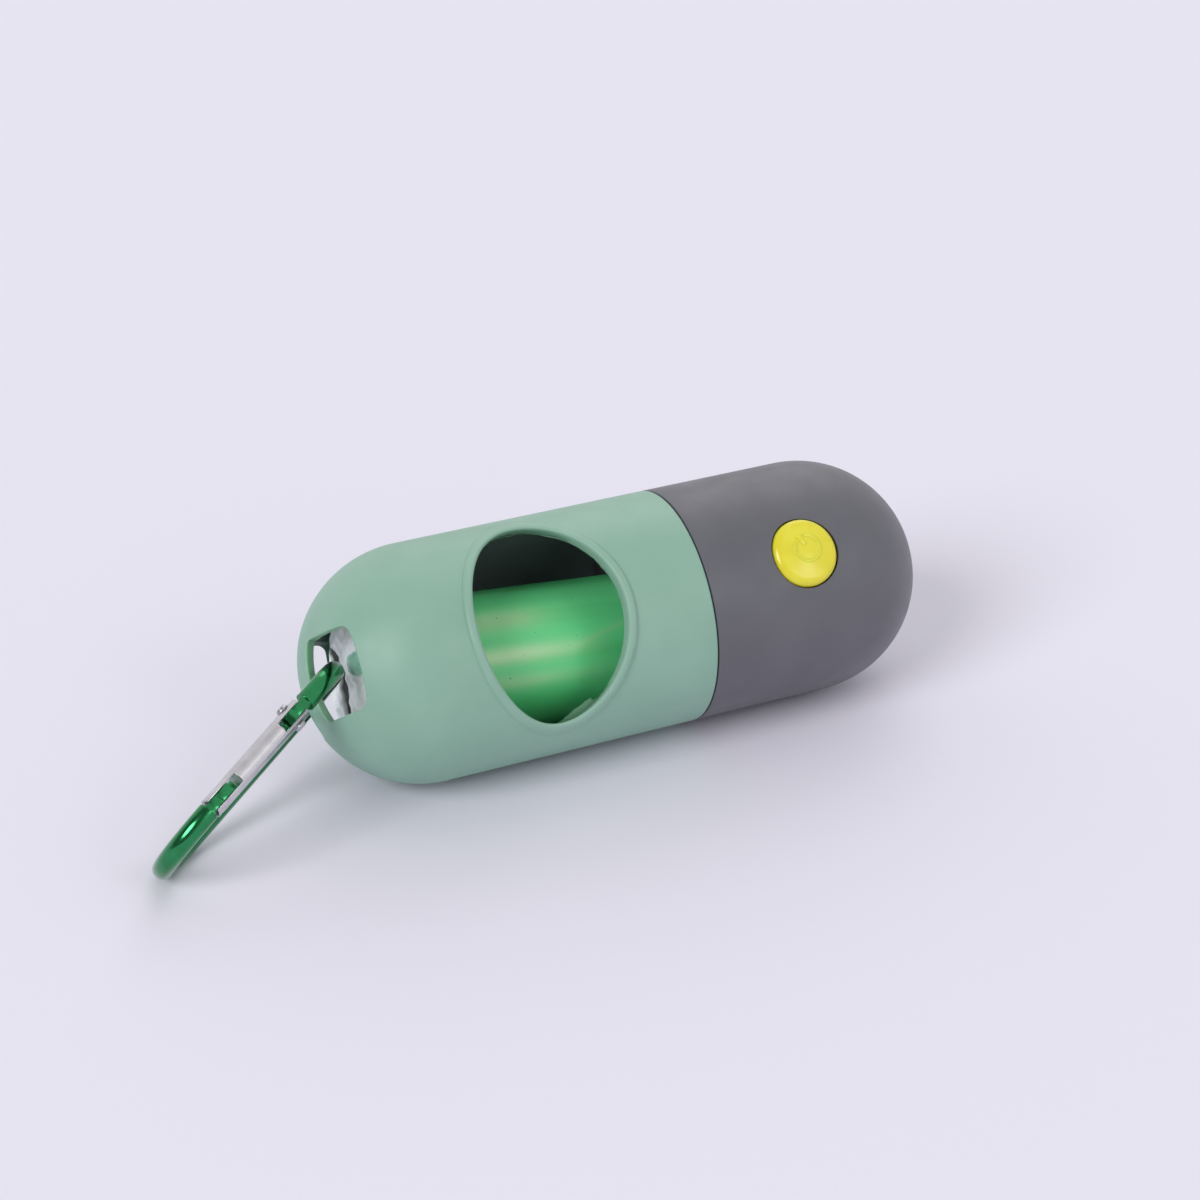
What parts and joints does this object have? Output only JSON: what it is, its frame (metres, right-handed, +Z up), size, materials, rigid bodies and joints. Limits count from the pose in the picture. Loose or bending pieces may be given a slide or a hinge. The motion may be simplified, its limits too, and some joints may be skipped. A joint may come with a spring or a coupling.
{
  "type": "waste bag dispenser",
  "caption": "Capsule-shaped dispenser for rolled dog waste bags, with a mouth for the film, a small torch in one end, and a carabiner hung on a bridge in the other.",
  "frame": {"origin": "on the table, under the belly of the capsule as it lies, halfway between the centres of its two domes", "axes": "+X along the capsule towards the torch, +Y away from the side that the mouth and the button face, +Z up from the table"},
  "size_m": [0.154, 0.0479, 0.0451],
  "materials": {
    "green_shell": "fine spark-eroded grain",
    "grey_shell": "fine spark-eroded grain",
    "dark_ring": "satin",
    "yellow_button": "satin",
    "film": "glossy thin film",
    "card": "grey board",
    "green_rod": "green anodised",
    "bare_rod": "drawn and polished",
    "pin_steel": "plain",
    "spring_steel": "plain wire",
    "clear_lens": "clear",
    "mirror_bowl": "vacuum metallised",
    "led_resin": "clear resin",
    "tinned": "tinned",
    "black_plastic": "moulded",
    "white_plastic": "moulded",
    "board": "solder mask",
    "chip": "moulded",
    "cell_steel": "nickel plated",
    "contact_brass": "stamped",
    "screw_steel": "zinc plated",
    "red_wire": "insulated wire",
    "black_wire": "insulated wire"
  },
  "bodies": {
    "housing": {"bag_housing": "green_shell"},
    "roll": {"roll_core": "card", "bag_roll": "film", "bag_tail": "film"},
    "carabiner": {"carabiner_frame": "green_rod", "gate_rivet": "pin_steel"},
    "gate": {"carabiner_gate": "bare_rod", "latch_pin": "pin_steel", "gate_spring": "spring_steel"},
    "torch": {"torch_shell": "grey_shell", "lens_ring": "dark_ring", "lens": "clear_lens", "reflector": "mirror_bowl", "led": "led_resin", "led_leads": "tinned", "switch_body": "black_plastic", "circuit_board": "board", "resistor": "chip", "cell_carrier": "white_plastic", "button_cells": "cell_steel", "contact_plate": "contact_brass", "contact_spring": "spring_steel", "battery_cover": "dark_ring", "cover_screw": "screw_steel", "carrier_screws": "screw_steel", "wire_red": "red_wire", "wire_black": "black_wire"},
    "button": {"power_button": "yellow_button"},
    "plunger": {"switch_plunger": "white_plastic"}
  },
  "joints": [
    {"name": "roll_spin", "type": "hinge", "parent": "housing", "child": "roll", "pos_m": [0.0039, 0, 0.0157], "axis": [-0.9954, 0, 0.0958], "continuous": true},
    {"name": "carabiner_swing", "type": "hinge", "parent": "housing", "child": "carabiner", "pos_m": [-0.0571, -0.0001, 0.02189], "axis": [0, -0.766, 0.6428], "range_deg": [-80, 21]},
    {"name": "gate_open", "type": "hinge", "parent": "carabiner", "child": "gate", "pos_m": [-0.0672, -0.01243, 0.02446], "axis": [0.5691, -0.5955, -0.567], "range_deg": [0, 27], "stiffness_Nm_per_rad": 0.02},
    {"name": "torch_pull", "type": "slide", "parent": "housing", "child": "torch", "axis": [1, 0, 0], "range_m": [0, 0.01]},
    {"name": "button_press", "type": "slide", "parent": "torch", "child": "button", "axis": [0, 0.7373, -0.6756], "range_m": [0, 0.001], "stiffness_N_per_m": 800},
    {"name": "switch_press", "type": "slide", "parent": "torch", "child": "plunger", "axis": [0, 0.7373, -0.6756], "range_m": [0, 0.001]}
  ],
  "couplings": [
    {"joint": "switch_press", "follows": "button_press", "ratio": 1}
  ]
}
